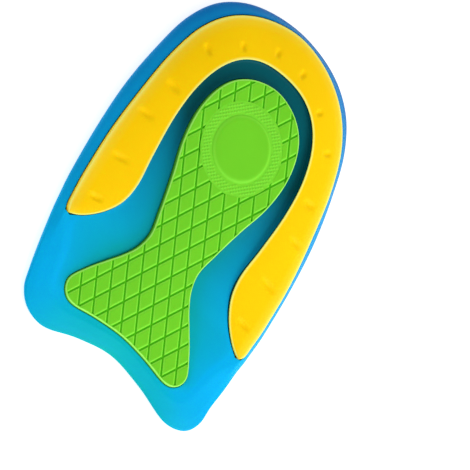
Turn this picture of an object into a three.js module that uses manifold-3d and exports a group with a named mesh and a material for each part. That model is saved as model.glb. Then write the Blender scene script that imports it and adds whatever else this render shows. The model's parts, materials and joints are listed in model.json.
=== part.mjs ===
// A soft gel heel insert, lying on its rim with its sole side up, in millimetres with +Z up. X runs across
// the foot and Y towards the heel. The pieces are shaped in the plane of the sole's pads, where the origin is
// the middle of the heel disc and Z points away from the foot, and are then laid on the rim together.
import * as THREE from "three";
import { mergeVertices } from "three/addons/utils/BufferGeometryUtils.js";
import Module from "manifold-3d";

// Driving dimensions
const GAP = 0.3; // between the pads and the seats that hold them
const RIM_DEPTH = 8.4; // from the pads' plane down to the rim's plane, at the heel disc
const RIM_SLOPE = 0.08; // how much deeper the rim lies for each millimetre towards the heel
const RIM_BELLY = 0.55; // share of the wall's height at which the rim is widest
const FRONT_BELLY = 0.75; // the same past the horseshoe's tips
const RIM_TUCK = 1.2; // how far the flat land under the rim stays inside the widest line
const RIM_LAND = 1.7; // width of that land
const HORSESHOE_THICK = 1.6; // at its outer edge, which is let into the gel
const HORSESHOE_THIN = 0.5; // at its inner edge, which lies on a ledge of the gel
const HORSESHOE_TAPER = 0.2; // most that it thins for each millimetre of its width
const HORSESHOE_PROUD = 0.5; // above the gel around it
const HORSESHOE_CROWN = 0.3;
const EDGE_DROP = 0.25; // of the face at the horseshoe's two edges
const PAD_THICK = 1.8;
const LIP_HIGH = 0.15; // the lip of gel that holds the pad where the channel lays its side bare
const LIP_OUT = 0.45; // the lip's edge, out from the pad
const LEDGE_OVER = 0.1; // how far the uncut ledge stands into the horseshoe's seat
const CHANNEL_WALL = 0.6; // width of the slope from the ledge down to the channel's bed
const CHANNEL_FLAT = 0.6; // share of the channel's width over which its floor stays low
const CHANNEL_RISE = 0.2; // share of the rise to the lip that it takes there
const DISH_DEPTH = 5.8; // of the hollow for the heel, from the rim's plane
const DISH_FRONT_DEPTH = 0.2;
const DISH_FRONT = -66;
const DISH_HEEL = 12;
const DISH_FADE = 1.2; // power of the hollow's rise from front to heel
const DISH_POWER = 3; // roundness of the hollow's walls
const SPINE_FRONT = -48; // the hollow's rings close on a line from here
const SPINE_HEEL = 8; // to here
const DISH_RINGS = [0.15, 0.4, 0.62, 0.8, 0.93]; // shares of the way out from that line to the land
const CELL_WIDE = 5.1; // pitch of the diamonds across and along the pad
const CELL_LONG = 9;
const CELL_START = 1.8; // where two grooves cross on the pad's middle line
const GROOVE_WIDE = 0.7;
const GROOVE_DEEP = 0.5;
const DISC_RADIUS = 8.8;
const DISC_RISE = 0.35;
const RING_RADIUS = 12.4; // the band round the disc, which has no diamonds
const NOTCH_DEEP = 0.35;
const FACE_ACROSS = [0, 0.06, 0.3, 0.6, 0.94, 1]; // points across the horseshoe's face, from its inner edge
const STEPS = 3; // facets between two rows of the outline
const ROUND_SIDES = 48;
const CLEAR = 5; // how far a cutter reaches past what it cuts
const SAME = 1e-4; // points closer than this are one

// Rings of the wall, as shares of the way from the land to the widest line and from there to the shoulder
const UNDER_RIM = { out: 0.75, up: 0.4 };
const OVER_RIM = [
  { out: 0.3, up: 0.55 },
  { out: 0.65, up: 0.85 },
];

// The right half of the insert's outlines, one row for each station from the heel's end round to the middle
// of the front. rim is the widest line, outer and inner are the horseshoe's two edges, and pad is the
// fishtail's edge. Past the horseshoe's tip, outer and inner carry on round the front as lines on the gel.
// Each has x and y, and outer and inner also the horseshoe's height. bed is the gel's height between inner
// and pad.
const TIP = 11;
const OUTLINE = [
  { rim: [0, 38.1], outer: [0, 35.7, -5], inner: [0, 23.3, -1.5], pad: [0, 18.5], bed: -2.6 },
  { rim: [14.7, 35.4], outer: [11.5, 33.2, -4.8], inner: [7.6, 22.2, -1.4], pad: [7.1, 16.8], bed: -2.6 },
  { rim: [23.7, 29.5], outer: [20.2, 27.7, -4.5], inner: [13.1, 18.9, -1.1], pad: [12.1, 13], bed: -2.6 },
  { rim: [29.2, 20.9], outer: [26, 19.9, -3.9], inner: [17.2, 13.3, -0.7], pad: [15, 7.6], bed: -2.6 },
  { rim: [32.6, 8.9], outer: [29.7, 9, -3.1], inner: [19.9, 5.1, -0.4], pad: [16.2, 0.3], bed: -2.5 },
  { rim: [35, -4.8], outer: [32, -5, -2.3], inner: [20.8, -5, -0.3], pad: [15.3, -8.3], bed: -2.3 },
  { rim: [35.8, -18.5], outer: [33.4, -18.5, -1.6], inner: [20.1, -17.3, -0.3], pad: [12.6, -17.3], bed: -1.8 },
  { rim: [35.8, -29.5], outer: [33.6, -29, -1.2], inner: [19.3, -26.1, -0.35], pad: [10.1, -27], bed: -1.4 },
  { rim: [35.6, -35.5], outer: [33.5, -34.6, -1], inner: [20.3, -32, -0.45], pad: [8.8, -33.5], bed: -1.3 },
  { rim: [35.2, -39.8], outer: [33.2, -38.7, -0.9], inner: [23.2, -37, -0.6], pad: [9.8, -38.3], bed: -1.2 },
  { rim: [34.9, -43], outer: [33, -41.2, -0.8], inner: [27.1, -41, -0.7], pad: [12.1, -42.4], bed: -1.2 },
  { rim: [34.5, -46], outer: [32.4, -43.3, -0.8], inner: [31, -43.6, -0.8], pad: [15.1, -46.4], bed: -1.1 },
  { rim: [33.7, -52], outer: [31.3, -51, -0.7], inner: [28.6, -50.5, -0.4], pad: [19.1, -51.9], bed: -0.8 },
  { rim: [32.5, -59.4], outer: [30.1, -58.6, -0.5], inner: [26.6, -57.4, -0.25], pad: [21.8, -56.9], bed: -0.6 },
  { rim: [31.6, -64.8], outer: [29.1, -63.3, -0.4], inner: [25.6, -60.8, -0.2], pad: [21.3, -59.5], bed: -0.55 },
  { rim: [28.6, -68.7], outer: [26.7, -66.3, -0.4], inner: [23.6, -63.6, -0.2], pad: [19.6, -61.2], bed: -0.55 },
  { rim: [22.5, -70.2], outer: [21.9, -67.5, -0.4], inner: [19.6, -64.5, -0.2], pad: [17.2, -61.8], bed: -0.55 },
  { rim: [11.5, -67], outer: [11.1, -64.8, -0.4], inner: [10.4, -62.6, -0.2], pad: [9, -60.5], bed: -0.55 },
  { rim: [0, -64.9], outer: [0, -62.9, -0.4], inner: [0, -61.2, -0.2], pad: [0, -59.7], bed: -0.55 },
];

// Notches across the horseshoe's right half: the station, the share of the way out from its inner edge, the
// length across the pad and the width along it
const NOTCHES = [
  { station: 0.55, across: 0.35, long: 2.6, wide: 1 },
  { station: 1.85, across: 0.28, long: 2.8, wide: 1 },
  { station: 3.15, across: 0.5, long: 3.4, wide: 1 },
  { station: 4.45, across: 0.55, long: 5, wide: 1 },
  { station: 5.35, across: 0.6, long: 6, wide: 1.1 },
  { station: 6.5, across: 0.57, long: 6, wide: 1.1 },
  { station: 8.5, across: 0.5, long: 4.4, wide: 1.1 },
];

const wasm = await Module();
wasm.setup();

// Height of the plane that the rim stands on
function rimPlane(y) {
  return -RIM_DEPTH - RIM_SLOPE * y;
}

const mirrored = (point) => new THREE.Vector3(-point.x, point.y, point.z);

// A smooth closed line through one column of the outline, on round the left half
function closedLine(place) {
  const right = OUTLINE.map((row) => new THREE.Vector3(...place(row)));
  const left = right.slice(1, -1).reverse().map(mirrored);
  return new THREE.CatmullRomCurve3([...right, ...left], true);
}

// A smooth line through one column of the outline from the horseshoe's left tip to its right tip
function armLine(place) {
  const right = OUTLINE.slice(0, TIP + 1).map((row) => new THREE.Vector3(...place(row)));
  const left = right.slice(1).reverse().map(mirrored);
  return new THREE.CatmullRomCurve3([...left, ...right]);
}

const gelShoulder = (row) => row.outer[2] - HORSESHOE_PROUD;
const inFront = (row) => OUTLINE.indexOf(row) > TIP;
const rimHeight = (row) => {
  const belly = inFront(row) ? FRONT_BELLY : RIM_BELLY;
  return THREE.MathUtils.lerp(rimPlane(row.rim[1]), gelShoulder(row), belly);
};
const ledgeHeight = (row) => {
  if (inFront(row)) return row.inner[2];
  const open = row.inner[2] - HORSESHOE_THIN - GAP + LEDGE_OVER;
  return Math.max(open, Math.min(row.bed, row.inner[2] - HORSESHOE_PROUD));
};
const lipHeight = (row) => Math.max(row.bed, LIP_HIGH - PAD_THICK - GAP);
const LINES = {
  rim: closedLine((row) => [...row.rim, rimHeight(row)]),
  shoulder: closedLine((row) => row.outer),
  ledge: closedLine((row) => [row.inner[0], row.inner[1], ledgeHeight(row)]),
  bed: closedLine((row) => [row.inner[0], row.inner[1], row.bed]),
  pad: closedLine((row) => [...row.pad, 0]),
  lip: closedLine((row) => [...row.pad, lipHeight(row)]),
};
const ARM_OUTSIDE = armLine((row) => row.outer);
const ARM_INSIDE = armLine((row) => row.inner);
const STATIONS = 2 * (OUTLINE.length - 1); // once round, both halves

// The point at a share of a line's way, moved outwards in the pads' plane
function onLine(line, share, outwards = 0) {
  const along = line.getTangent(share);
  const away = new THREE.Vector3(-along.y, along.x, 0).setLength(outwards);
  return line.getPoint(share).add(away);
}

// The two edges of the horseshoe at a station, which is negative on the left half, with the width grown
function armEdges(station, grow = 0) {
  const share = (station / TIP + 1) / 2;
  return [onLine(ARM_INSIDE, share, -grow), onLine(ARM_OUTSIDE, share, grow)];
}

// A whole closed line as a ring of points, moved outwards and up
function ringOf(name, outwards = 0, up = 0) {
  const ring = [];
  for (let i = 0; i < STATIONS * STEPS; i++) {
    const point = onLine(LINES[name], i / (STATIONS * STEPS), outwards);
    point.z += up;
    ring.push(point);
  }
  return ring;
}

// A ring part of the way from one ring to another, in the plane and in height
function between(from, to, share, shareUp) {
  return from.map((point, i) => {
    const middle = point.clone().lerp(to[i], share);
    middle.z = THREE.MathUtils.lerp(point.z, to[i].z, shareUp);
    return middle;
  });
}

// A closed solid through rings of equal count, which run clockwise as seen from the last one, with both ends
// filled in. flat gives the two coordinates in which the end rings are read for filling.
function loft(rings, flat) {
  const count = rings[0].length;
  const faces = [];
  for (let r = 0; r + 1 < rings.length; r++) {
    for (let i = 0; i < count; i++) {
      const a = r * count + i;
      const b = r * count + ((i + 1) % count);
      faces.push(a, b + count, b, a, a + count, b + count);
    }
  }
  const fill = (ring) => THREE.ShapeUtils.triangulateShape(ring.map(flat), []);
  const start = (rings.length - 1) * count;
  for (const face of fill(rings[0])) faces.push(...face.reverse());
  for (const face of fill(rings.at(-1))) faces.push(...face.map((i) => i + start));
  const places = rings.flat().flatMap((point) => point.toArray());
  const geometry = new THREE.BufferGeometry();
  geometry.setAttribute("position", new THREE.Float32BufferAttribute(places, 3));
  return geometry.setIndex(faces);
}

const inPlane = (point) => new THREE.Vector2(point.x, point.y);

// A geometry as a solid that can be joined and cut
function solidOf(geometry) {
  const bare = geometry.clone();
  bare.deleteAttribute("normal");
  bare.deleteAttribute("uv");
  const merged = mergeVertices(bare, SAME);
  return new wasm.Manifold(
    new wasm.Mesh({
      numProp: 3,
      vertProperties: merged.getAttribute("position").array,
      triVerts: new Uint32Array(merged.index.array),
    }),
  );
}

// A named mesh of a solid, in its own colour
function piece(name, solid, color, roughness) {
  const { vertProperties, triVerts } = solid.getMesh();
  const geometry = new THREE.BufferGeometry();
  geometry.setAttribute("position", new THREE.BufferAttribute(vertProperties, 3));
  geometry.setIndex(new THREE.BufferAttribute(triVerts, 1));
  geometry.computeVertexNormals();
  const material = new THREE.MeshStandardMaterial({ color, roughness, metalness: 0 });
  const mesh = new THREE.Mesh(geometry, material);
  mesh.name = name;
  return mesh;
}

// The hollow for the heel: rings of the rim's inner edge drawn in to a line along the middle
function dishRings() {
  const edge = ringOf("rim", -RIM_TUCK - RIM_LAND);
  return DISH_RINGS.map((share) =>
    edge.map((point) => {
      const spine = THREE.MathUtils.clamp(point.y, SPINE_FRONT, SPINE_HEEL);
      const place = new THREE.Vector3(0, spine, 0).lerp(point, share);
      const along = THREE.MathUtils.clamp((place.y - DISH_FRONT) / (DISH_HEEL - DISH_FRONT), 0, 1);
      const depth = THREE.MathUtils.lerp(DISH_FRONT_DEPTH, DISH_DEPTH, along ** DISH_FADE);
      place.z = rimPlane(place.y) + depth * (1 - share ** DISH_POWER);
      return place;
    }),
  );
}

// The gel body before its seats are cut: out from the hollow, round the rim and over the shoulder
function gelBody() {
  const onRimPlane = (ring) => ring.map((point) => point.setZ(rimPlane(point.y)));
  const landInside = onRimPlane(ringOf("rim", -RIM_TUCK - RIM_LAND));
  const landOutside = onRimPlane(ringOf("rim", -RIM_TUCK));
  const widest = ringOf("rim");
  const shoulder = ringOf("shoulder", GAP, -HORSESHOE_PROUD);
  const ledge = ringOf("ledge");
  const bed = ringOf("bed", -CHANNEL_WALL);
  const lip = ringOf("lip", LIP_OUT);
  const rings = [
    ...dishRings(),
    landInside,
    landOutside,
    between(landOutside, widest, UNDER_RIM.out, UNDER_RIM.up),
    widest,
    ...OVER_RIM.map(({ out, up }) => between(widest, shoulder, out, up)),
    shoulder,
    ledge,
    bed,
    between(bed, lip, CHANNEL_FLAT, CHANNEL_RISE),
    lip,
  ];
  return loft(rings, inPlane);
}

// How far the horseshoe's face stands over the straight line between its edges
const crown = (across) => 4 * across * (1 - across) * HORSESHOE_CROWN;

// The horseshoe from tip to tip, or with grow the space that its seat takes, open upwards
function horseshoe(grow = 0) {
  const sections = [];
  for (let i = -TIP * STEPS; i <= TIP * STEPS; i++) {
    const [inside, outside] = armEdges(i / STEPS, grow);
    if (Math.abs(i) === TIP * STEPS) [inside, outside].forEach((point) => (point.y -= grow));
    const face = FACE_ACROSS.map((across) => {
      const point = inside.clone().lerp(outside, across);
      const edge = across === 0 || across === 1 ? EDGE_DROP : 0;
      point.z += grow ? CLEAR : crown(across) - edge;
      return point;
    });
    const width = inside.distanceTo(outside);
    const thin = Math.max(HORSESHOE_THIN, HORSESHOE_THICK - HORSESHOE_TAPER * width);
    const fall = (inside.z - thin - outside.z + HORSESHOE_THICK) / width;
    const low = grow * Math.hypot(1, fall);
    const underOutside = outside.clone().setZ(outside.z - HORSESHOE_THICK - low - fall * grow);
    const underInside = inside.clone().setZ(inside.z - thin - low + fall * grow);
    sections.push([...face, underOutside, underInside]);
  }
  const flat = (point) => new THREE.Vector2(Math.abs(point.x), point.z);
  return loft(sections, flat);
}

// Cutters for the notches, laid along the horseshoe's face on both halves
function notchCutters() {
  return NOTCHES.flatMap(({ station, across, long, wide }) =>
    [-1, 1].map((half) => {
      const [inside, outside] = armEdges(half * station);
      const place = inside.clone().lerp(outside, across);
      place.z += crown(across) + CLEAR / 2 - NOTCH_DEEP;
      const outwards = outside.clone().sub(inside).normalize();
      const up = new THREE.Vector3(0, 0, 1);
      const forwards = new THREE.Vector3().crossVectors(up, outwards).normalize();
      const basis = new THREE.Matrix4().makeBasis(outwards, forwards, outwards.clone().cross(forwards));
      const box = new THREE.BoxGeometry(long, wide, CLEAR).applyMatrix4(basis);
      return solidOf(box.translate(place.x, place.y, place.z));
    }),
  );
}

// A slab with the fishtail's outline, between two heights
function fishtailSlab(outwards, low, high) {
  const ring = ringOf("pad", outwards);
  const level = (z) => ring.map((point) => point.clone().setZ(z));
  return solidOf(loft([level(low), level(high)], inPlane));
}

// Straight bars in two families that cross at the diamonds' corners
function grooveCutters() {
  const turn = Math.atan2(CELL_WIDE, CELL_LONG);
  const heel = OUTLINE[0].pad[1];
  const front = OUTLINE.at(-1).pad[1];
  const reach = 2 * (heel - front);
  const most = Math.ceil((heel - front) / CELL_WIDE);
  const bars = [];
  for (let k = -most; k <= most; k++) {
    for (const side of [-1, 1]) {
      const bar = new THREE.BoxGeometry(GROOVE_WIDE, reach, 2 * GROOVE_DEEP);
      bars.push(solidOf(bar.rotateZ(side * turn).translate(k * CELL_WIDE, CELL_START, 0)));
    }
  }
  return wasm.Manifold.union(bars);
}

// A round plug in the pad's head, up to a height
function plug(radius, low, high) {
  const cylinder = new THREE.CylinderGeometry(radius, radius, high - low, ROUND_SIDES);
  return solidOf(cylinder.rotateX(Math.PI / 2).translate(0, 0, (low + high) / 2));
}

const seats = solidOf(horseshoe(GAP)).add(fishtailSlab(GAP, -PAD_THICK - GAP, CLEAR));
const gelCup = solidOf(gelBody()).subtract(seats);
const heelHorseshoe = solidOf(horseshoe()).subtract(wasm.Manifold.union(notchCutters()));
const fishtailPad = fishtailSlab(0, -PAD_THICK, 0)
  .subtract(grooveCutters())
  .add(plug(RING_RADIUS, -PAD_THICK / 2, 0))
  .add(plug(DISC_RADIUS, -PAD_THICK / 2, DISC_RISE));

// The pieces together, laid on the rim with the box's middle over the origin
const insert = new THREE.Group();
const sole = new THREE.Group();
sole.add(piece("gel_cup", gelCup, 0x0aa5e1, 0.4));
sole.add(piece("heel_horseshoe", heelHorseshoe, 0xffd400, 0.45));
sole.add(piece("fishtail_pad", fishtailPad, 0x70d428, 0.5));
sole.rotation.x = Math.atan(RIM_SLOPE);
sole.updateMatrixWorld(true);
const box = new THREE.Box3().setFromObject(sole, true);
sole.position.set(0, -(box.min.y + box.max.y) / 2, -box.min.z);
insert.add(sole);

export default insert;
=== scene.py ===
import json
import math
import bmesh
import bpy
from mathutils import Matrix, Vector, kdtree
from mathutils.geometry import interpolate_bezier


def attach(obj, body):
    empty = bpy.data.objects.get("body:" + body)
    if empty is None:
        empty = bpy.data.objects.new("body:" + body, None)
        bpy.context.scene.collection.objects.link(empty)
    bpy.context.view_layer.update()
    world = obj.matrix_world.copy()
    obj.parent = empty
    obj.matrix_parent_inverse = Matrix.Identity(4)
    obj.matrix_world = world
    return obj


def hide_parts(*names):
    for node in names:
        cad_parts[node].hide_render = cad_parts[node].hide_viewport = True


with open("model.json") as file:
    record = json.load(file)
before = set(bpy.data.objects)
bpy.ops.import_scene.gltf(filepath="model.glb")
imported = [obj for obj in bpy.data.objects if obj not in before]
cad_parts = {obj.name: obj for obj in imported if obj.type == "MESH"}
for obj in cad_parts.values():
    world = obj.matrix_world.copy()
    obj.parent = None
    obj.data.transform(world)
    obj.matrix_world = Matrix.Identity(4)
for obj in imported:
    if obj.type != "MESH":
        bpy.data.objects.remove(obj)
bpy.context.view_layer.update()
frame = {"record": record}

# Gel cup
# The soft body of the insert, cast in one piece of blue silicone gel and lying on its rim with the sole
# side up. Its foot side is a shallow hollow, and on its sole side a channel runs round the heel.
MM = 0.001  # in metres, and the sizes that follow are in millimetres
SAME = 1e-3  # within which two points are one
STEPS = 6  # points drawn between two rows of the outline
GAP = 0.25  # between the yellow pad and its seat
PAD_GAP = 0.1  # between the green pad and its seat
RIM_DEPTH = 8.4  # from the pads' plane down to the rim's plane, at the heel disc
RIM_SLOPE = 0.08  # how much the rim's plane falls for each millimetre towards the heel
RIM_BELLY = 0.47  # where the widest line lies between the rim's plane and the shoulder
FRONT_BELLY = 0.75  # the same past the tips of the yellow pad's arms
RIM_TUCK = 1.2  # how far the rim's foot is drawn in under the widest line
RIM_LAND = 1.7  # how wide the rim lies on the floor
HORSESHOE_THIN = 0.5  # the yellow pad's least thickness at its inner edge
HORSESHOE_PROUD = 0.5  # how far the yellow pad stands over the gel's shoulder
LEDGE_OVER = 0.15  # how far the ledge stands over the foot of the yellow pad's seat
CREST = 0.2  # how much of the front's rounded crest shows over the bed
PAD_THICK = 1.8  # of the green pad
LIP_HIGH = 0.95  # least height of the gel's lip over the floor of the green pad's seat
LIP_OUT = 0.45  # how far the lip lies outside the green pad's edge
SEAT_TOP_DROP = 0.03  # how far the edge of that seat lies under the lip
DISH_DEPTH = 5.8  # of the foot side's hollow, at the heel
DISH_FRONT_DEPTH = 0.2
DISH_FRONT = -66  # where along the insert it has its front depth
DISH_HEEL = 12  # where it has its whole depth
DISH_FADE = 1.2  # power by which it deepens between the two
DISH_POWER = 3  # power of its section, from the middle out to the rim
SPINE_FRONT = -48  # the two ends of the middle line that rings are drawn in to
SPINE_HEEL = 8
DISC_RISE = 0.35  # of the green pad's disc over the plane of the sole
FRONT_TURN = 0.04  # the soft front lies turned to one side, in radians
TURN_FROM = -50  # where along the insert the turn begins
TURN_OVER = 8.5  # length over which it sets in

# The right half of the outlines, in the plane of the sole with the heel disc's middle as origin, from the
# heel's end round to the middle of the front. rim is the widest line, outer and inner are the edges of
# the yellow pad with their heights, pad is the edge of the green pad, and bed is the gel's height between
# inner and pad.
OUTLINE = (
    dict(rim=(0, 38.1), outer=(0, 35.7, -5), inner=(0, 23.3, -1.5),
         pad=(0, 18.5), bed=-2.6),
    dict(rim=(14.7, 35.4), outer=(11.5, 33.2, -4.8), inner=(7.6, 22.2, -1.4),
         pad=(7.1, 16.8), bed=-2.6),
    dict(rim=(23.7, 29.5), outer=(20.2, 27.7, -4.5), inner=(13.1, 18.9, -1.1),
         pad=(12.1, 13), bed=-2.6),
    dict(rim=(29.2, 20.9), outer=(26, 19.9, -3.9), inner=(17.2, 13.3, -0.7),
         pad=(15, 7.6), bed=-2.6),
    dict(rim=(32.6, 8.9), outer=(29.7, 9, -3.1), inner=(19.9, 5.1, -0.4),
         pad=(16.2, 0.3), bed=-2.5),
    dict(rim=(35, -4.8), outer=(32, -5, -2.3), inner=(20.8, -5, -0.3),
         pad=(15.3, -8.3), bed=-2.3),
    dict(rim=(35.8, -18.5), outer=(33.4, -18.5, -1.6), inner=(20.1, -17.3, -0.3),
         pad=(12.6, -17.3), bed=-1.8),
    dict(rim=(35.8, -29.5), outer=(33.6, -29, -1.2), inner=(19.3, -26.1, -0.35),
         pad=(10.1, -27), bed=-1.4),
    dict(rim=(35.6, -35.5), outer=(33.5, -34.6, -1), inner=(20.3, -32, -0.45),
         pad=(8.8, -33.5), bed=-1.3),
    dict(rim=(35.2, -39.8), outer=(33.2, -38.7, -0.9), inner=(23.2, -37, -0.6),
         pad=(9.8, -38.3), bed=-1.2),
    dict(rim=(34.9, -43), outer=(33, -41.2, -0.8), inner=(27.1, -41, -0.7),
         pad=(12.1, -42.4), bed=-1.2),
    dict(rim=(34.5, -46), outer=(32.4, -43.3, -0.8), inner=(31, -43.6, -0.8),
         pad=(15.1, -46.4), bed=-1.1),
    dict(rim=(33.7, -52), outer=(31.3, -51, -0.7), inner=(28.6, -50.5, -0.4),
         pad=(19.1, -51.9), bed=-0.8),
    dict(rim=(32.5, -59.4), outer=(30.1, -58.6, -0.5), inner=(26.6, -57.4, -0.25),
         pad=(21.8, -56.9), bed=-0.6),
    dict(rim=(31.6, -64.8), outer=(29.1, -63.3, -0.4), inner=(25.6, -60.8, -0.2),
         pad=(21.3, -59.5), bed=-0.55),
    dict(rim=(28.6, -68.7), outer=(26.7, -66.3, -0.4), inner=(23.6, -63.6, -0.2),
         pad=(19.6, -61.2), bed=-0.55),
    dict(rim=(22.5, -70.4), outer=(21.9, -67.5, -0.4), inner=(19.6, -64.5, -0.2),
         pad=(17.2, -61.8), bed=-0.55),
    dict(rim=(11.5, -67.15), outer=(11.1, -64.8, -0.4), inner=(10.4, -62.6, -0.2),
         pad=(9, -60.5), bed=-0.55),
    dict(rim=(0, -65.1), outer=(0, -62.9, -0.4), inner=(0, -61.2, -0.2),
         pad=(0, -59.7), bed=-0.55),
)
TIP = 11  # the row of the tips of the yellow pad's arms


def smooth_line(points, closed):
    """A smooth line through the points, with as many steps from each to the next."""
    if closed:
        reach = [points[-1], *points, points[0], points[1]]
    else:
        reach = [2 * points[0] - points[1], *points, 2 * points[-1] - points[-2]]
    line = []
    for before, start, end, after in zip(reach, reach[1:], reach[2:], reach[3:]):
        pairs = ((before, start), (start, end), (end, after))
        first, span, last = (max((b - a).length, SAME) ** 0.5 for a, b in pairs)
        leave = ((start - before) / first - (end - before) / (first + span)) * span + (end - start)
        arrive = ((after - end) / last - (after - start) / (span + last)) * span + (end - start)
        line += interpolate_bezier(start, start + leave / 3, end - arrive / 3, end, STEPS + 1)[:-1]
    return line if closed else [*line, points[-1]]


def mirrored(point):
    return Vector((-point.x, point.y, point.z))


def turned(point, turn):
    """A point turned to one side as far as it lies in the front."""
    past = max(TURN_FROM - point.y, 0)
    return point + turn * Vector((past * past / TURN_OVER, point.x * min(past / TURN_OVER, 1), 0))


def round_line(place, turn=0.0):
    """The closed line through one place in every row and its mirror image, with the front turned."""
    right = [Vector(place(row)) for row in OUTLINE]
    line = [*right, *(mirrored(point) for point in reversed(right[1:-1]))]
    return smooth_line([turned(point, turn) for point in line], closed=True)


def moved(line, outwards, up=0.0):
    """A closed line moved outwards in the plane of the sole, and up."""
    places = []
    for i, point in enumerate(line):
        along = line[(i + 1) % len(line)] - line[i - 1]
        away = Vector((-along.y, along.x, 0)).normalized()
        places.append(point + outwards * away + Vector((0, 0, up)))
    return places


def between(start, end, share, share_up):
    """A ring part of the way from one ring to another, in the plane and in height."""
    places = []
    for a, b in zip(start, end):
        place = a.lerp(b, share)
        place.z = a.z + (b.z - a.z) * share_up
        places.append(place)
    return places


def over_to(start, end, shares):
    """A ring that goes over from one ring to another, by a share for each column."""
    return [a.lerp(b, share) for a, b, share in zip(start, end, shares)]


def rim_plane(y):
    return -RIM_DEPTH - RIM_SLOPE * y


def on_rim_plane(ring):
    return [Vector((point.x, point.y, rim_plane(point.y))) for point in ring]


def rim_height(row):
    low = rim_plane(row["rim"][1])
    belly = FRONT_BELLY if OUTLINE.index(row) > TIP else RIM_BELLY
    return low + (row["outer"][2] - HORSESHOE_PROUD - low) * belly


def ledge_height(row):
    inner = row["inner"][2]
    if OUTLINE.index(row) > TIP:
        return row["bed"] + CREST * (inner - row["bed"])
    return max(inner - HORSESHOE_THIN - GAP + LEDGE_OVER, min(row["bed"], inner - HORSESHOE_PROUD))


def lip_height(row):
    return max(row["bed"], LIP_HIGH - PAD_THICK - GAP)


def drawn_in(ring, share, height):
    """A ring drawn in towards the middle line, with a height for its place and share."""
    places = []
    for i, point in enumerate(ring):
        along = (point.y + ring[-i].y) / 2
        spine = Vector((0, min(max(along, SPINE_FRONT), SPINE_HEEL), 0))
        place = spine.lerp(point, share)
        place.z = height(place, share)
        places.append(place)
    return places


def dish_height(place, share):
    along = min(max((place.y - DISH_FRONT) / (DISH_HEEL - DISH_FRONT), 0), 1)
    depth = DISH_FRONT_DEPTH + (DISH_DEPTH - DISH_FRONT_DEPTH) * along ** DISH_FADE
    return rim_plane(place.y) + depth * (1 - share ** DISH_POWER)


def seat_floor(place, share):
    return -PAD_THICK - GAP


def put_selected(piece, places):
    """Moves the selected vertices, in the order that they were drawn, to their places."""
    mesh = bmesh.from_edit_mesh(piece.data)
    for vertex, place in zip([v for v in mesh.verts if v.select], places):
        vertex.co = place * MM
    bmesh.update_edit_mesh(piece.data)


def draw_rings(name, rings):
    """A new piece, one ring extruded through the others, left in edit mode with the last selected."""
    bpy.ops.object.select_all(action="DESELECT")
    bpy.ops.mesh.primitive_circle_add(vertices=len(rings[0]), radius=MM)
    piece = bpy.context.object
    piece.name = name
    piece.data.name = name
    bpy.ops.object.mode_set(mode="EDIT")
    put_selected(piece, rings[0])
    for ring in rings[1:]:
        bpy.ops.mesh.extrude_edges_move()
        put_selected(piece, ring)
    return piece


def close_up():
    """Merges what meets, turns the faces outwards and leaves edit mode."""
    bpy.ops.mesh.select_all(action="SELECT")
    bpy.ops.mesh.remove_doubles(threshold=SAME * MM)
    bpy.ops.mesh.normals_make_consistent(inside=False)
    bpy.ops.object.mode_set(mode="OBJECT")


def only(piece):
    """Selects one piece and nothing else."""
    bpy.ops.object.select_all(action="DESELECT")
    piece.select_set(True)
    bpy.context.view_layer.objects.active = piece


def shaped_by(piece, kind, **settings):
    """Puts a modifier on a piece, sets it and applies it."""
    only(piece)
    modifier = piece.modifiers.new(kind.lower(), kind)
    for key, value in settings.items():
        setattr(modifier, key, value)
    bpy.ops.object.modifier_apply(modifier=modifier.name)


def smoothed(piece, levels):
    shaped_by(piece, "SUBSURF", levels=levels, render_levels=levels)


heel_disc = next(mount for mount in frame["record"]["mounts"] if mount["name"] == "heel_disc")
SOLE_UP = Vector(heel_disc["axis"])
SOLE_TILT = math.atan2(-SOLE_UP.y, SOLE_UP.z)
SOLE_PLACE = Vector(heel_disc["pos_m"]) - DISC_RISE * MM * SOLE_UP


def lay(piece):
    """Brings a piece from the plane of the sole to its place on the rim."""
    only(piece)
    piece.rotation_euler.x = SOLE_TILT
    piece.location = SOLE_PLACE
    bpy.ops.object.transform_apply(location=True, rotation=True, scale=True)


def screen(red, green, blue):
    """A colour as it shows on a screen, 0 to 255, as a shader takes it."""
    shares = [value / 255 for value in (red, green, blue)]
    return (*(s / 12.92 if s <= 0.04045 else ((s + 0.055) / 1.055) ** 2.4 for s in shares), 1.0)


def level(knots, station):
    """A value that runs evenly from one (station, value) knot to the next."""
    for (start, low), (end, high) in zip(knots, knots[1:]):
        if station <= end:
            return low + (high - low) * max(station - start, 0) / (end - start)
    return knots[-1][1]


def add_tone(piece, name, values):
    """Keeps one number for each vertex, from 0 to 1, for the piece's material."""
    tone = piece.data.attributes.new(name, "FLOAT", "POINT")
    tone.data.foreach_set("value", values)


rim = round_line(lambda row: (*row["rim"], rim_height(row)), FRONT_TURN)
shoulder = moved(round_line(lambda row: row["outer"], FRONT_TURN), GAP, -HORSESHOE_PROUD)
ledge = round_line(lambda row: (*row["inner"][:2], ledge_height(row)), FRONT_TURN / 2)
pad_edge = round_line(lambda row: (*row["pad"], 0))
lip = moved(round_line(lambda row: (*row["pad"], lip_height(row))), LIP_OUT)
seat_top = moved(lip, PAD_GAP - LIP_OUT, -SEAT_TOP_DROP)
seat_foot = moved([Vector((p.x, p.y, -PAD_THICK - GAP)) for p in pad_edge], PAD_GAP)
columns = len(rim)
stations = [min(i, columns - i) / STEPS for i in range(columns)]
bed_heights = [point.z for point in round_line(lambda row: (*row["inner"][:2], row["bed"]))]
# The share of the way from ledge to lip at which the bed begins, by station from the heel to the front
BED_FROM_LEDGE = ((0, 0.17), (8, 0.1), (10, 0.1), (13, 0.5), (18, 0.5))
bed = []
for station, start, end, height in zip(stations, ledge, lip, bed_heights):
    place = start.lerp(end, level(BED_FROM_LEDGE, station))
    bed.append(Vector((place.x, place.y, height)))
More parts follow.
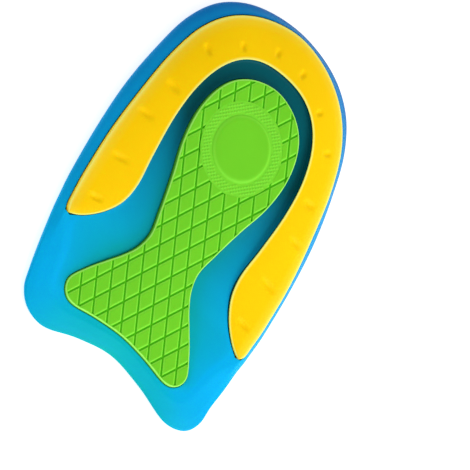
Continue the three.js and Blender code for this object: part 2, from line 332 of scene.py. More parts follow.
# How far the channel's wall has faded to a soft roll, and the top and foot of both: shares of the way
# from ledge to bed, in the plane and down
FRONT_SOFTNESS = ((0, 0), (9.5, 0), (12.5, 1), (18, 1))
WALL_TOP = (0.12, 0.4)
WALL_FOOT = (0.45, 0.85)
SOFT_WALL_TOP = (0.3, 0.2)
SOFT_WALL_FOOT = (0.65, 0.72)
softness = [level(FRONT_SOFTNESS, station) for station in stations]
wall_top = over_to(between(ledge, bed, *WALL_TOP), between(ledge, bed, *SOFT_WALL_TOP), softness)
wall_foot = over_to(between(ledge, bed, *WALL_FOOT), between(ledge, bed, *SOFT_WALL_FOOT), softness)
land_inside = on_rim_plane(moved(rim, -RIM_TUCK - RIM_LAND))
land_outside = on_rim_plane(moved(rim, -RIM_TUCK))

# Rings of the hollow: the share of the way out from the middle line, and the foot side's tone, which
# deepens towards the middle as painted shade
DISH_RINGS = ((0, 1), (0.2, 1), (0.4, 1), (0.58, 0.9), (0.74, 0.7), (0.87, 0.45), (0.95, 0.3))

# Rings of the gel from the hollow's middle line, out and round the rim, over the shoulder and the channel
# and into the seat of the green pad. After each ring comes how much it takes of the channel's painted
# shade, the outer wall's deeper blue of thick gel with painted shade, the thin front's cyan, the painted
# shade beside the green pad, and the foot side's blue with painted shade in the hollow.
GEL_RINGS = (
    *((drawn_in(land_inside, share, dish_height), (0, 0, 0, 0, foot_side_and_shade)) for share, foot_side_and_shade in DISH_RINGS),
    (land_inside, (0, 0, 0, 0, 0.2)),
    (between(land_inside, land_outside, 0.5, 0.5), (0, 0.5, 0, 0, 0.1)),
    (land_outside, (0, 0.8, 0.3, 0, 0)),
    (between(land_outside, rim, 0.45, 0.12), (0, 0.9, 0.6, 0, 0)),
    (between(land_outside, rim, 0.8, 0.42), (0, 1, 0.9, 0, 0)),
    (rim, (0, 1, 1, 0, 0)),
    (between(rim, shoulder, 0.25, 0.28), (0, 0.95, 1, 0, 0)),
    (between(rim, shoulder, 0.52, 0.53), (0, 0.8, 0.9, 0, 0)),
    (between(rim, shoulder, 0.78, 0.78), (0, 0.7, 0.8, 0, 0)),
    (shoulder, (0, 0.85, 0.85, 0, 0)),
    (between(shoulder, ledge, 0.33, 0.33), (0.5, 0.3, 0.85, 0, 0)),
    (between(shoulder, ledge, 0.75, 0.75), (1, 0, 0.85, 0, 0)),
    (ledge, (1, 0, 0.85, 0, 0)),
    (wall_top, (1, 0, 0.85, 0, 0)),
    (wall_foot, (1, 0, 0.85, 0, 0)),
    (bed, (1, 0, 0.85, 0.3, 0)),
    (between(bed, lip, 0.3, 0.05), (1, 0, 0.85, 0.45, 0)),
    (between(bed, lip, 0.62, 0.2), (1, 0, 0.85, 0.65, 0)),
    (between(bed, lip, 0.85, 0.55), (1, 0, 0.85, 0.95, 0)),
    (lip, (1, 0, 0.85, 1, 0)),
    (seat_top, (1, 0, 0, 1, 0)),
    (seat_foot, (1, 0, 0, 1, 0)),
    (drawn_in(seat_foot, 0.5, seat_floor), (0, 0, 0, 0, 0)),
    (drawn_in(seat_foot, 0, seat_floor), (0, 0, 0, 0, 0)),
)
# How strong each tone is, by station
# Painted shade in the deep channel, strongest round the heel and fading towards the front
CHANNEL_SHADE_TONE = ((0, 1), (4.3, 1), (5.3, 0.75), (6.5, 0.42), (8, 0.2), (9.5, 0.05), (11, 0))
# The deeper blue of the thick gel on the outer wall, with painted shade, strongest round the heel
THICK_WALL_SHADE_TONE = ((0, 1), (2.5, 0.85), (5, 0.45), (8, 0.15), (11, 0))
FRONT_TONE = ((0, 0), (13.5, 0), (15, 0.2), (16.6, 0.75), (18, 1))
# Painted shade on the gel beside the green pad, along its neck and tails
HALO_SHADE_TONE = ((0, 0), (4.5, 0), (6.5, 0.65), (10, 0.8), (13.2, 0.6), (14.4, 0.1), (18, 0))
# The foot side's blue, with painted shade deepening towards the hollow's middle
FOOT_SIDE_AND_SHADE_TONE = ((0, 1), (18, 1))
TONES = dict(channel_shade=CHANNEL_SHADE_TONE, thick_wall_shade=THICK_WALL_SHADE_TONE, front=FRONT_TONE, halo_shade=HALO_SHADE_TONE, foot_side_and_shade=FOOT_SIDE_AND_SHADE_TONE)

gel_cup = draw_rings("gel_cup_skin", [ring for ring, takes in GEL_RINGS])
bpy.ops.object.mode_set(mode="OBJECT")
for number, (name, knots) in enumerate(TONES.items()):
    strength = [level(knots, station) for station in stations]
    add_tone(gel_cup, name, [takes[number] * value for ring, takes in GEL_RINGS for value in strength])
bpy.ops.object.mode_set(mode="EDIT")
close_up()
smoothed(gel_cup, 1)
bpy.ops.object.shade_smooth()
lay(gel_cup)

SCATTER_FAR = 1.5  # how far light spreads inside the gel


def new_material(name, roughness, specular, scatter):
    """A material with its shader, which scatters a share of the light inside the gel."""
    material = bpy.data.materials.new(name)
    material.use_nodes = True
    shader = material.node_tree.nodes["Principled BSDF"]
    shader.inputs["Roughness"].default_value = roughness
    shader.inputs["Specular IOR Level"].default_value = specular
    shader.inputs["Subsurface Weight"].default_value = scatter
    shader.inputs["Subsurface Scale"].default_value = SCATTER_FAR * MM
    return material, material.node_tree, shader


def add_node(tree, kind, **settings):
    node = tree.nodes.new(kind)
    for key, value in settings.items():
        setattr(node, key, value)
    return node


def tone_of(tree, name):
    """The socket that gives one of the tones kept on a piece's vertices."""
    return add_node(tree, "ShaderNodeAttribute", attribute_name=name).outputs["Fac"]


def mixed(tree, share, first, second, blend="MIX"):
    """The socket of one colour mixed into another. Each is a colour or a socket, and so is the share."""
    mix = add_node(tree, "ShaderNodeMix", data_type="RGBA", blend_type=blend)
    for number, value in ((0, share), (6, first), (7, second)):
        if isinstance(value, bpy.types.NodeSocket):
            tree.links.new(value, mix.inputs[number])
        else:
            mix.inputs[number].default_value = value
    return mix.outputs[2]


def grain(tree, scale, detail):
    """The socket of a cloudy grain with so many grains to the metre, fixed to the piece."""
    place = add_node(tree, "ShaderNodeTexCoord").outputs["Object"]
    cloud = add_node(tree, "ShaderNodeTexNoise")
    cloud.inputs["Scale"].default_value = scale
    cloud.inputs["Detail"].default_value = detail
    tree.links.new(place, cloud.inputs["Vector"])
    return cloud.outputs["Fac"]


def bumped(tree, shader, height, strength, distance):
    """Raises the surface by a height socket, for the light only."""
    bump = add_node(tree, "ShaderNodeBump")
    bump.inputs["Strength"].default_value = strength
    bump.inputs["Distance"].default_value = distance * MM
    tree.links.new(height, bump.inputs["Height"])
    tree.links.new(bump.outputs["Normal"], shader.inputs["Normal"])


def ranged(tree, value, low, high):
    """The socket of a 0 to 1 value brought into a range."""
    spread = add_node(tree, "ShaderNodeMapRange")
    spread.inputs["To Min"].default_value = low
    spread.inputs["To Max"].default_value = high
    tree.links.new(value, spread.inputs["Value"])
    return spread.outputs["Result"]


def toned(tree, colour, tones):
    """The socket of a piece's main colour with the colour of each of its tones laid over it in turn."""
    for name, tone_colour in tones.items():
        colour = mixed(tree, tone_of(tree, name), colour, tone_colour)
    return colour


def clouded(tree, shader, colour, clouds, swing, patches, rough):
    """Gives a shader a colour with faint clouds in it, and a roughness in patches."""
    shade = ranged(tree, grain(tree, clouds, detail=3), 1 - swing, 1 + swing)
    tree.links.new(mixed(tree, 1.0, colour, shade, "MULTIPLY"), shader.inputs["Base Color"])
    tree.links.new(ranged(tree, grain(tree, patches, detail=2), *rough), shader.inputs["Roughness"])


GEL_BLUE = screen(0, 176, 235)
# Painted shade: the dark teal of the deep channel and of the yellow pad's seat
GEL_CHANNEL_SHADE = screen(0, 87, 98)
# The thick gel's deeper blue, with painted shade on the outer wall and along the yellow pad's outer edge
GEL_THICK_WALL_SHADE = screen(0, 98, 178)
GEL_FRONT = screen(0, 182, 182)
# Painted shade: the green pad's soft shadow on the gel beside it
GEL_HALO_SHADE = screen(0, 160, 150)
# The foot side's own blue, darker towards the hollow's middle as painted shade
GEL_FOOT_SIDE_AND_SHADE = screen(0, 162, 206)
blue_gel, tree, shader = new_material("blue_gel", roughness=0.42, specular=0.05, scatter=0.15)
colour = toned(tree, GEL_BLUE, dict(foot_side_and_shade=GEL_FOOT_SIDE_AND_SHADE, front=GEL_FRONT, thick_wall_shade=GEL_THICK_WALL_SHADE, halo_shade=GEL_HALO_SHADE,
                                    channel_shade=GEL_CHANNEL_SHADE))
clouded(tree, shader, colour, clouds=70, swing=0.1, patches=300, rough=(0.36, 0.5))
stipple = add_node(tree, "ShaderNodeMath", operation="MULTIPLY")
tree.links.new(grain(tree, scale=2600, detail=1), stipple.inputs[0])
tree.links.new(ranged(tree, tone_of(tree, "foot_side_and_shade"), low=0.04, high=1.0), stipple.inputs[1])
bumped(tree, shader, stipple.outputs[0], strength=1.0, distance=0.15)
gel_cup.data.materials.append(blue_gel)
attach(gel_cup, "root")
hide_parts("gel_cup")

# Heel horseshoe
# The firmer yellow pad round the heel, moulded in silicone with a softly crowned face and small dents
# across it. Its outer edge is let into the gel and its inner edge lies on the ledge over the channel.
NOSE = 0.55  # how much of a row the rounding of a tip takes
NOSE_LEAST = 0.12  # the share of its width that a tip keeps at its very end
HORSESHOE_THICK = 1.6  # at its outer edge
HORSESHOE_TAPER = 0.2  # most that it thins for each millimetre of its width
HORSESHOE_CROWN = 0.3
HORSESHOE_SHARP = 50  # degrees from which an edge stays sharp
NARROW = 3.0  # the width under which its roundings shrink too
SIDE_FOOT = 0.6  # how far down the outer side goes straight, as a share of the thickness
FOOT_TUCK = 0.2  # how far the underside is drawn in at its edges
ROLL_WIDE = 3.4  # how far in from the outer edge the face rolls off
ROLL_DROP = 0.3
ROLL_POWER = 1.5
ROUNDING = ((0, 0.25), (0.04, 0.1), (0.12, 0.03), (0.32, 0.0), (0.7, 0.0))  # in from an edge, and down
ACROSS = (0.14, 0.28, 0.42, 0.56, 0.66, 0.76, 0.86, 0.94)  # the face between the roundings
SEAT_CLEAR = 3.0  # how far the seat's cutter reaches over the pad
SEAT_DEEPER = 1.2  # the gap under the pad for each millimetre of the gap beside it
GEL_SHARP = 45  # degrees from which the gel's edges stay sharp
FACING_UP = 0.5  # least upward part of the normal of a point or face that looks up
# Dents on the right half: the row, the share of the way out from the inner edge, the length across the
# arm and the width along it
DENTS = (
    dict(row=0.55, across=0.35, long=3.4, wide=2.2),
    dict(row=1.85, across=0.28, long=3.4, wide=2.2),
    dict(row=3.15, across=0.5, long=4.2, wide=2.3),
    dict(row=4.55, across=0.46, long=5.6, wide=2.6),
    dict(row=5.35, across=0.6, long=6.4, wide=2.4),
    dict(row=6.5, across=0.57, long=6.8, wide=2.4),
    dict(row=8.5, across=0.5, long=5.6, wide=2.4),
)
DENT_DEEP = 0.55


def arm_line(place):
    """The open line through one place in every row from the left tip round the heel to the right tip."""
    right = [Vector(place(row)) for row in OUTLINE[:TIP + 1]]
    return smooth_line([*(mirrored(point) for point in reversed(right[1:])), *right], closed=False)


arm_inside = arm_line(lambda row: row["inner"])
arm_outside = arm_line(lambda row: row["outer"])


def face_rise(far, width):
    """How high the face swells over the straight line between the edges, rolling off at the outer one."""
    share = far / width
    roll = max(1 - (width - far) / ROLL_WIDE, 0) * min(1, width / (2 * ROLL_WIDE))
    return 4 * share * (1 - share) * HORSESHOE_CROWN + ROLL_DROP * (share - roll ** ROLL_POWER)


def section_points(width, grow=0):
    """The pad's section as points out from its inner edge and up, or with grow its seat cutter's."""
    thin = max(HORSESHOE_THIN, HORSESHOE_THICK - HORSESHOE_TAPER * width)
    if grow:
        below = SEAT_DEEPER * grow
        return [(-grow, SEAT_CLEAR), (width + grow, SEAT_CLEAR),
                (width + grow, -HORSESHOE_THICK - below), (-grow, -thin - below)]
    near = min(1, width / NARROW)
    face = [(near * inwards, drop) for inwards, drop in ROUNDING]
    start = face[-1][0]
    face += [(start + share * (width - 2 * start), 0) for share in ACROSS]
    face += [(width - near * inwards, drop) for inwards, drop in reversed(ROUNDING)]
    section = [(far, face_rise(far, width) - drop) for far, drop in face]
    tuck = near * FOOT_TUCK
    section += [(width, -SIDE_FOOT * HORSESHOE_THICK), (width - tuck, -HORSESHOE_THICK)]
    section += [(width / 2, -(HORSESHOE_THICK + thin) / 2), (tuck, -thin)]
    return section


def arm_section(number, grow):
    """The same section laid between the two edges at one step."""
    inside, outside = arm_inside[number], arm_outside[number]
    out = (outside - inside).normalized()
    points = section_points((outside - inside).length, grow)
    return [inside + far * out + Vector((0, 0, up)) for far, up in points]


def nose_share(number):
    """How much of its width the pad keeps at a step, which falls off in a round nose at the two tips."""
    rows = min(number, len(arm_inside) - 1 - number) / STEPS
    return math.sqrt(max(1 - max(1 - rows / NOSE, 0) ** 2, 0))


def arm_sections(grow):
    """All sections from tip to tip, with the last ones drawn together to a round nose."""
    sections = []
    for number in range(len(arm_inside)):
        section = arm_section(number, grow)
        middle = sum(section, Vector()) / len(section)
        keep = 1 if grow else max(nose_share(number), NOSE_LEAST)
        shrink = Vector((keep, keep, (1 + keep) / 2))
        sections.append([middle + shrink * (point - middle) for point in section])
    return sections


def fill_ends(piece, sides):
    """Fills the first and the last ring of a drawn piece."""
    bpy.ops.mesh.edge_face_add()
    bpy.ops.mesh.select_all(action="DESELECT")
    mesh = bmesh.from_edit_mesh(piece.data)
    mesh.verts.ensure_lookup_table()
    for vertex in mesh.verts[:sides]:
        vertex.select_set(True)
    mesh.select_flush(True)
    bmesh.update_edit_mesh(piece.data)
    bpy.ops.mesh.edge_face_add()


sections = arm_sections(0)
horseshoe = draw_rings("heel_horseshoe_skin", sections)
fill_ends(horseshoe, len(sections[0]))
bpy.ops.object.mode_set(mode="OBJECT")
INNER_HIGHLIGHT = (0.3, 1, 1, 0.9, 0)  # how much painted highlight the pad takes along its inner rounding, from the edge inwards
OUTER_HIGHLIGHT = (0, 0.2, 0.6, 1, 0.3)  # and along its outer one
section_highlight = [*INNER_HIGHLIGHT, *(0 for share in ACROSS), *reversed(OUTER_HIGHLIGHT)]
section_highlight += [0] * (len(sections[0]) - len(section_highlight))
add_tone(horseshoe, "edge_highlight", section_highlight * len(sections))
# Painted highlight on the outer band where the face rolls off towards the gel
roll_highlight = []
for inside, outside in zip(arm_inside, arm_outside):
    width = (outside - inside).length
    roll_highlight += [max(1 - (width - far) / ROLL_WIDE, 0) for far, up in section_points(width)]
add_tone(horseshoe, "roll", roll_highlight)
bpy.ops.object.mode_set(mode="EDIT")
close_up()
smoothed(horseshoe, 2)


def soft_fall(far):
    return (1 - far * far) ** 2 if abs(far) < 1 else 0.0


def dent(piece, number, across, long, wide):
    """Presses one soft dent into the face, across the arm."""
    inside, outside = arm_inside[number], arm_outside[number]
    middle = inside.lerp(outside, across) * MM
    out = (outside - inside).normalized()
    ahead = Vector((-out.y, out.x, 0)).normalized()
    for vertex in piece.data.vertices:
        away = vertex.co - middle
        if away.length < long * MM and vertex.normal.z > FACING_UP:
            far_across = 2 * away.dot(out) / (long * MM)
            far_along = 2 * away.dot(ahead) / (wide * MM)
            vertex.co.z -= soft_fall(far_across) * soft_fall(far_along) * DENT_DEEP * MM


for row in DENTS:
    for side in (-1, 1):
        step = round((TIP + side * row["row"]) * STEPS)
        dent(horseshoe, step, row["across"], row["long"], row["wide"])
only(horseshoe)
bpy.ops.object.shade_smooth_by_angle(angle=math.radians(HORSESHOE_SHARP))
lay(horseshoe)


def clean_cut(piece):
    """Merges the doubled points that a cut leaves and dissolves its slivers and spare points."""
    only(piece)
    bpy.ops.object.mode_set(mode="EDIT")
    bpy.ops.mesh.select_mode(type="VERT")
    bpy.ops.mesh.select_all(action="SELECT")
    bpy.ops.mesh.remove_doubles(threshold=SAME * MM)
    bpy.ops.mesh.dissolve_degenerate(threshold=SAME * MM)
    mesh = bmesh.from_edit_mesh(piece.data)
    spare = [vertex for vertex in mesh.verts if len(vertex.link_edges) == 2]
    bmesh.ops.dissolve_verts(mesh, verts=spare)
    bmesh.update_edit_mesh(piece.data)
    bpy.ops.object.mode_set(mode="OBJECT")


# The pad's seat, cut into the gel
seat_sections = arm_sections(GAP)
seat_cutter = draw_rings("horseshoe_seat", seat_sections)
fill_ends(seat_cutter, len(seat_sections[0]))
close_up()
lay(seat_cutter)
# The walls cut for the seat take the channel's painted shade
add_tone(seat_cutter, "channel_shade", [1.0] * len(seat_cutter.data.vertices))
for piece, names in ((gel_cup, TONES), (seat_cutter, ("channel_shade",))):
    only(piece)
    for name in names:
        piece.data.attributes.active = piece.data.attributes[name]
        bpy.ops.geometry.attribute_convert(mode="GENERIC", domain="CORNER", data_type="FLOAT")
shaped_by(gel_cup, "BOOLEAN", operation="DIFFERENCE", solver="EXACT", object=seat_cutter)
bpy.data.objects.remove(seat_cutter)
clean_cut(gel_cup)
bpy.ops.object.shade_smooth_by_angle(angle=math.radians(GEL_SHARP))

PAD_YELLOW = screen(255, 206, 0)
# Painted highlight on the outer band where the face rolls off
YELLOW_ROLL_HIGHLIGHT = screen(255, 216, 48)
# Painted highlight along the pad's rounded edges
YELLOW_EDGE_HIGHLIGHT = screen(252, 242, 118)
yellow_gel, tree, shader = new_material("yellow_gel", roughness=0.45, specular=0.05, scatter=0.12)
colour = toned(tree, PAD_YELLOW, dict(roll=YELLOW_ROLL_HIGHLIGHT, edge_highlight=YELLOW_EDGE_HIGHLIGHT))
clouded(tree, shader, colour, clouds=60, swing=0.06, patches=260, rough=(0.38, 0.52))
bumped(tree, shader, grain(tree, scale=2200, detail=1), strength=0.06, distance=0.1)
horseshoe.data.materials.append(yellow_gel)
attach(horseshoe, "root")
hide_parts("heel_horseshoe")

# Fishtail pad
# The green pad along the middle, moulded in silicone and let into its own seat in the gel. It has a round
# head under the heel, a neck and a forked tail. Crossed grooves cut its face into diamonds, and the head
# has a smooth raised disc in a finely hatched ring.
CELL_WIDE = 5.1
CELL_LONG = 9.0
CELL_START = 1.8  # where two grooves cross on the middle line
CELLS_ACROSS = 11
CELLS_ALONG = 11
CELLS_LEFT = 5  # of the middle line
CELLS_AHEAD = 8  # of that crossing, towards the front
FIRST_CELL = (-CELLS_LEFT * CELL_WIDE, CELL_START + (0.5 - CELLS_AHEAD) * CELL_LONG)
GROOVE_DEEP = 0.45
GROOVE_WALL = ((0.15, 0), (0.1, 0.18), (0.1, 0.1), (0.4, 0.16), (0.08, 0.01))  # from its middle, and up
ROUND_SIDES = 128
RING_RADIUS = 12.4
RING_RISE = -0.055  # of the ground between the hatching, over the plane of the sole
RING_CUT = 0.9  # how deep the cells are cut away for it
RING_HOLE = 0.997  # the hole for it in the cells, as a share of its radius
HATCH_PITCH = 0.85
HATCH_HIGH = 0.2
HATCH_TURN = 45  # degrees from the middle line
HATCH_SPARE = 1.0  # how far the grid reaches past the ring before it is trimmed
HATCH_FROM_DISC = 0.4  # no crossing is raised so near to the disc, in pitches
HATCH_FROM_RIM = 0.75  # nor so near to the ring's outside
DISC_RADIUS = 9.0
DISC_FOOT = -0.19  # where the disc's rounded edge begins
DISC_EDGE = ((0.12, 0.16), (0.45, 0.22), (0.6, 0.15), (0.4, 0.02))  # in from its outside, and up
SHEET_DEEP = 2.6  # the sheet of cells, before it is trimmed to the pad
DISC_EDGE_HIGHLIGHT = 0.6  # how strong the painted highlight on the disc's rounded edge is
PLUG_DEPTH = 1.2  # how deep the ring and the disc go into the pad
RING_FORM_HIGH = 4 * PLUG_DEPTH
# The pad's form from its foot up round its edge: out from the outline, and height
EDGE_RINGS = ((0, -PAD_THICK), (0, -0.45), (-0.06, -0.22), (-0.25, -0.09), (-0.55, 0.02), (-1.3, 0.55))
EDGE_HIGHLIGHT_WIDE = 0.34  # how wide the painted highlight along the edge is
EDGE_HIGHLIGHT_LOW = 0.6  # how far down it fades
EDGE_PARTS = 16  # points on each step of the outline from which that width is measured
SIDE_SHADE_HIGH = -0.45  # where the painted shade on the pad's side begins
SIDE_SHADE_FADE = 0.5  # how far down it has its whole strength
BORDER_WIDE = 0.5  # the grooves end at a border along the edge
BORDER_DROP = 0.05  # how far it lies under the face
BORDER_FOOT = -1  # the height that it begins at
BORDER_OUT = 1  # how far the border reaches past the outline before it is trimmed
SHOULDER_LOW = 0.17  # how far under the face the cells' rounded shoulders end, where their painted highlight is strongest
PAD_SHARP = 22  # degrees from which an edge stays sharp
LEVEL_FACE = 0.9999  # least upward part of the normal of a face that is shaded flat


def drop_border(depth):
    """Closes an open sheet below: its border goes straight down to one level and is filled."""
    bpy.ops.mesh.select_mode(type="EDGE")
    bpy.ops.mesh.select_all(action="DESELECT")
    bpy.ops.mesh.select_non_manifold(extend=False, use_wire=False, use_boundary=True,
                                     use_multi_face=False, use_non_contiguous=False, use_verts=False)
    bpy.ops.mesh.extrude_edges_move(TRANSFORM_OT_translate={"value": (0, 0, -depth * MM)})
    bpy.ops.mesh.edge_face_add()
    bpy.ops.mesh.select_mode(type="VERT")


def repeated(piece, count, step):
    """Lays copies of a piece side by side, joined where they meet."""
    shaped_by(piece, "ARRAY", count=count, use_relative_offset=False, use_constant_offset=True,
              constant_offset_displace=Vector(step) * MM, use_merge_vertices=True,
              merge_threshold=SAME * MM)


# One diamond, then a sheet of them
bpy.ops.object.select_all(action="DESELECT")
first_place = (FIRST_CELL[0] * MM, FIRST_CELL[1] * MM, -GROOVE_DEEP * MM)
bpy.ops.mesh.primitive_circle_add(vertices=4, radius=CELL_LONG / 2 * MM, fill_type="NGON",
                                  location=first_place)
fishtail = bpy.context.object
fishtail.name = "fishtail_pad_skin"
fishtail.data.name = "fishtail_pad_skin"
bpy.ops.object.transform_apply(location=True, rotation=True, scale=True)
bpy.ops.object.mode_set(mode="EDIT")
bpy.ops.transform.resize(value=(CELL_WIDE / CELL_LONG, 1, 1), center_override=first_place)
for inwards, rise in GROOVE_WALL:
    bpy.ops.mesh.inset(thickness=inwards * MM, depth=rise * MM)
bpy.ops.object.mode_set(mode="OBJECT")
repeated(fishtail, 2, (CELL_WIDE / 2, CELL_LONG / 2, 0))
repeated(fishtail, CELLS_ACROSS, (CELL_WIDE, 0, 0))
repeated(fishtail, CELLS_ALONG, (0, CELL_LONG, 0))
bpy.ops.object.mode_set(mode="EDIT")
drop_border(SHEET_DEEP - GROOVE_DEEP)
close_up()

# The hatched ring, a grid laid crosswise whose every second crossing is raised
half_count = math.ceil((RING_RADIUS + HATCH_SPARE) / HATCH_PITCH)
grid_steps = 4 * half_count
grid_size = 2 * half_count * HATCH_PITCH
bpy.ops.object.select_all(action="DESELECT")
bpy.ops.mesh.primitive_grid_add(x_subdivisions=grid_steps, y_subdivisions=grid_steps, size=grid_size * MM)
hatched_ring = bpy.context.object
hatch_from = DISC_RADIUS + HATCH_FROM_DISC * HATCH_PITCH
hatch_to = RING_RADIUS - HATCH_FROM_RIM * HATCH_PITCH
bpy.ops.object.mode_set(mode="EDIT")
bpy.ops.mesh.select_all(action="DESELECT")
mesh = bmesh.from_edit_mesh(hatched_ring.data)
for vertex in mesh.verts:
    column = round((vertex.co.x / MM + grid_size / 2) * 2 / HATCH_PITCH)
    line = round((vertex.co.y / MM + grid_size / 2) * 2 / HATCH_PITCH)
    inside = hatch_from < vertex.co.length / MM < hatch_to
    vertex.select_set(inside and column % 2 == 1 and line % 2 == 1)
bmesh.update_edit_mesh(hatched_ring.data)
bpy.ops.transform.translate(value=(0, 0, HATCH_HIGH * MM))
drop_border(PLUG_DEPTH)
close_up()
hatched_ring.rotation_euler.z = math.radians(HATCH_TURN)
hatched_ring.location.z = RING_RISE * MM
only(hatched_ring)
bpy.ops.object.transform_apply(location=True, rotation=True, scale=True)
bpy.ops.object.select_all(action="DESELECT")
bpy.ops.mesh.primitive_cylinder_add(vertices=ROUND_SIDES, radius=RING_RADIUS * MM,
                                    depth=RING_FORM_HIGH * MM)
ring_form = bpy.context.object
shaped_by(hatched_ring, "BOOLEAN", operation="INTERSECT", solver="EXACT", object=ring_form)
ring_form.location.z = (RING_FORM_HIGH / 2 - RING_CUT) * MM
ring_form.scale.xy = (RING_HOLE, RING_HOLE)
bpy.context.view_layer.update()
shaped_by(fishtail, "BOOLEAN", operation="DIFFERENCE", solver="EXACT", object=ring_form)
bpy.data.objects.remove(ring_form)

# The raised disc with its rounded edge
bpy.ops.object.select_all(action="DESELECT")
disc_place = (0, 0, (DISC_FOOT - PLUG_DEPTH) / 2 * MM)
bpy.ops.mesh.primitive_cylinder_add(vertices=ROUND_SIDES, radius=DISC_RADIUS * MM,
                                    depth=(PLUG_DEPTH + DISC_FOOT) * MM, location=disc_place)
disc = bpy.context.object
bpy.ops.object.transform_apply(location=True, rotation=True, scale=True)
bpy.ops.object.mode_set(mode="EDIT")
bpy.ops.mesh.select_mode(type="FACE")
bpy.ops.mesh.select_all(action="DESELECT")
mesh = bmesh.from_edit_mesh(disc.data)
for face in mesh.faces:
    face.select_set(face.normal.z > FACING_UP)
bmesh.update_edit_mesh(disc.data)
for inwards, rise in DISC_EDGE:
    bpy.ops.mesh.inset(thickness=inwards * MM, depth=rise * MM)
bpy.ops.mesh.select_mode(type="VERT")
bpy.ops.object.mode_set(mode="OBJECT")


def along_edge(places):
    """Rings along the pad's outline, each so far out from it and at its height."""
    rings = []
    for outwards, height in places:
        rings.append([Vector((point.x, point.y, height)) for point in moved(pad_edge, outwards)])
    return rings


# The pad's outline as a rounded form that everything is trimmed to, and the border where the grooves end
pad_form = draw_rings("pad_form", along_edge(EDGE_RINGS))
fill_ends(pad_form, len(pad_edge))
close_up()
border_section = [(-BORDER_WIDE, BORDER_FOOT), (-BORDER_WIDE, -BORDER_DROP), (BORDER_OUT, -BORDER_DROP),
                  (BORDER_OUT, BORDER_FOOT), (-BORDER_WIDE, BORDER_FOOT)]
border = draw_rings("border", along_edge(border_section))
close_up()
for form in (border, hatched_ring, disc):
    shaped_by(fishtail, "BOOLEAN", operation="UNION", solver="EXACT", object=form)
shaped_by(fishtail, "BOOLEAN", operation="INTERSECT", solver="EXACT", object=pad_form)
for form in (hatched_ring, disc, border, pad_form):
    bpy.data.objects.remove(form)
clean_cut(fishtail)

# Painted shade and highlights of the pad, from the height of each point and how near it is to the edge
edge_finder = kdtree.KDTree(EDGE_PARTS * len(pad_edge))
for i, start in enumerate(pad_edge):
    end = pad_edge[(i + 1) % len(pad_edge)]
    for part in range(EDGE_PARTS):
        edge_finder.insert(start.lerp(end, part / EDGE_PARTS), 0)
edge_finder.balance()
groove_shade_tone = []
edge_highlight_tone = []
shoulder_highlight = []
side_shade_tone = []
for vertex in fishtail.data.vertices:
    place = vertex.co / MM
    # Painted shade, deeper the lower a point lies in a groove
    groove_shade_tone.append(min(max(-place.z / GROOVE_DEEP, 0), 1))
    # Painted highlight along the pad's edge, fading downwards
    reach = edge_finder.find(Vector((place.x, place.y, 0)))[2]
    edge_highlight_tone.append(max(1 + place.z / EDGE_HIGHLIGHT_LOW, 0) if reach < EDGE_HIGHLIGHT_WIDE else 0)
    # Painted highlight on the cells' shoulders, the hatching's peaks and the disc's rounded edge
    raised_highlight = 0
    if DISC_RADIUS < place.xy.length < RING_RADIUS:
        raised_highlight = max(place.z / HATCH_HIGH, 0)
    elif place.xy.length < DISC_RADIUS:
        raised_highlight = DISC_EDGE_HIGHLIGHT * max(1 - abs(2 * place.z / DISC_RISE - 1), 0)
    shoulder_highlight.append(max(1 - abs(place.z / SHOULDER_LOW + 1), raised_highlight))
    # Painted shade on the pad's side, below its edge
    side_shade_tone.append(min(max((SIDE_SHADE_HIGH - place.z) / SIDE_SHADE_FADE, 0), 1))
add_tone(fishtail, "groove_shade", groove_shade_tone)
add_tone(fishtail, "edge_highlight", edge_highlight_tone)
add_tone(fishtail, "shoulder", shoulder_highlight)
add_tone(fishtail, "side", side_shade_tone)
only(fishtail)
bpy.ops.object.shade_smooth_by_angle(angle=math.radians(PAD_SHARP))
for face in fishtail.data.polygons:
    if face.normal.z > LEVEL_FACE:
        face.use_smooth = False
lay(fishtail)

PAD_GREEN = screen(112, 206, 39)
# Painted shade in the grooves
GREEN_GROOVE_SHADE = screen(76, 184, 12)
# Painted highlight on the cells' shoulders, the hatching and the disc's rounded edge
GREEN_SHOULDER_HIGHLIGHT = screen(140, 235, 66)
# Painted highlight along the pad's edge
GREEN_EDGE_HIGHLIGHT = screen(176, 255, 118)
# Painted shade on the pad's side
GREEN_SIDE_SHADE = screen(64, 168, 52)
green_gel, tree, shader = new_material("green_gel", roughness=0.45, specular=0.05, scatter=0.1)
colour = toned(tree, PAD_GREEN, dict(groove_shade=GREEN_GROOVE_SHADE, shoulder=GREEN_SHOULDER_HIGHLIGHT, edge_highlight=GREEN_EDGE_HIGHLIGHT,
                                     side=GREEN_SIDE_SHADE))
clouded(tree, shader, colour, clouds=80, swing=0.07, patches=280, rough=(0.38, 0.52))
bumped(tree, shader, grain(tree, scale=2400, detail=1), strength=0.06, distance=0.1)
fishtail.data.materials.append(green_gel)
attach(fishtail, "root")
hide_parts("fishtail_pad")

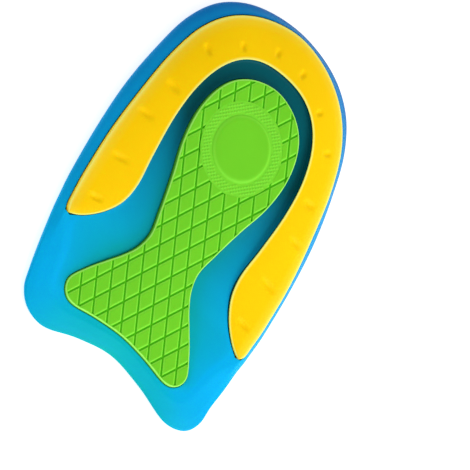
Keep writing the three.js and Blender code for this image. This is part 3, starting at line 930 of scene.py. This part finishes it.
# Floor and light
# A white table lit from within, a large soft lamp to the right of the picture and an even white room, so
# that the shadows stay faint. The sizes here are in metres.
FLOOR_SIZE = 6
FLOOR_GREY = (0.6, 0.6, 0.6, 1)
FLOOR_GLOW = 0.7
WHITE = (1, 1, 1, 1)
bpy.ops.object.select_all(action="DESELECT")
bpy.ops.mesh.primitive_plane_add(size=FLOOR_SIZE)
floor = bpy.context.object
floor.name = "floor"
white_table, tree, shader = new_material("white_table", roughness=0.9, specular=0.0, scatter=0.0)
shader.inputs["Base Color"].default_value = FLOOR_GREY
shader.inputs["Emission Color"].default_value = WHITE
shader.inputs["Emission Strength"].default_value = FLOOR_GLOW
floor.data.materials.append(white_table)

SOLE_TURN = Matrix.Rotation(SOLE_TILT, 3, "X")
LAMP_SIDE = Vector((0.7, -0.3, 0.65)).normalized()  # seen from the insert, in the plane of the sole
LAMP_FAR = 0.9
LAMP_SIZE = 0.7
LAMP_POWER = 6.3
bpy.ops.object.light_add(type="AREA", location=LAMP_FAR * (SOLE_TURN @ LAMP_SIDE))
lamp = bpy.context.object
lamp.data.size = LAMP_SIZE
lamp.data.energy = LAMP_POWER
lamp.rotation_euler = lamp.location.to_track_quat("Z", "Y").to_euler()

ROOM_LIGHT = 0.61
room = bpy.data.worlds.new("white_room")
room.use_nodes = True
background = room.node_tree.nodes["Background"]
background.inputs["Color"].default_value = WHITE
background.inputs["Strength"].default_value = ROOM_LIGHT
bpy.context.scene.world = room
bpy.context.scene.view_settings.view_transform = "Standard"

# Camera
# A long lens far off, over the insert's left front corner, turned so that the insert lies aslant in the
# picture.
LOOK_AT = Vector((11.37, -18.72, 0))  # in the plane of the sole, at the picture's middle
LOOK_BACK = Vector((-0.4206, -0.3117, 0.852))
LOOK_UP = Vector((-0.5954, 0.8035, 0))
PICTURE_WIDE = 120.4  # millimetres across the picture at that place
CAMERA_FAR = 5.0  # metres
bpy.ops.object.camera_add()
camera = bpy.context.object
right, up, back = LOOK_UP.cross(LOOK_BACK), LOOK_UP, LOOK_BACK
turn = SOLE_TURN @ Matrix((right, up, back)).transposed()
camera.rotation_euler = turn.to_euler()
camera.location = SOLE_PLACE + SOLE_TURN @ (LOOK_AT * MM) + CAMERA_FAR * (SOLE_TURN @ LOOK_BACK)
camera.data.lens = camera.data.sensor_width * CAMERA_FAR / (PICTURE_WIDE * MM)
camera.data.clip_end = 3 * CAMERA_FAR
bpy.context.scene.camera = camera
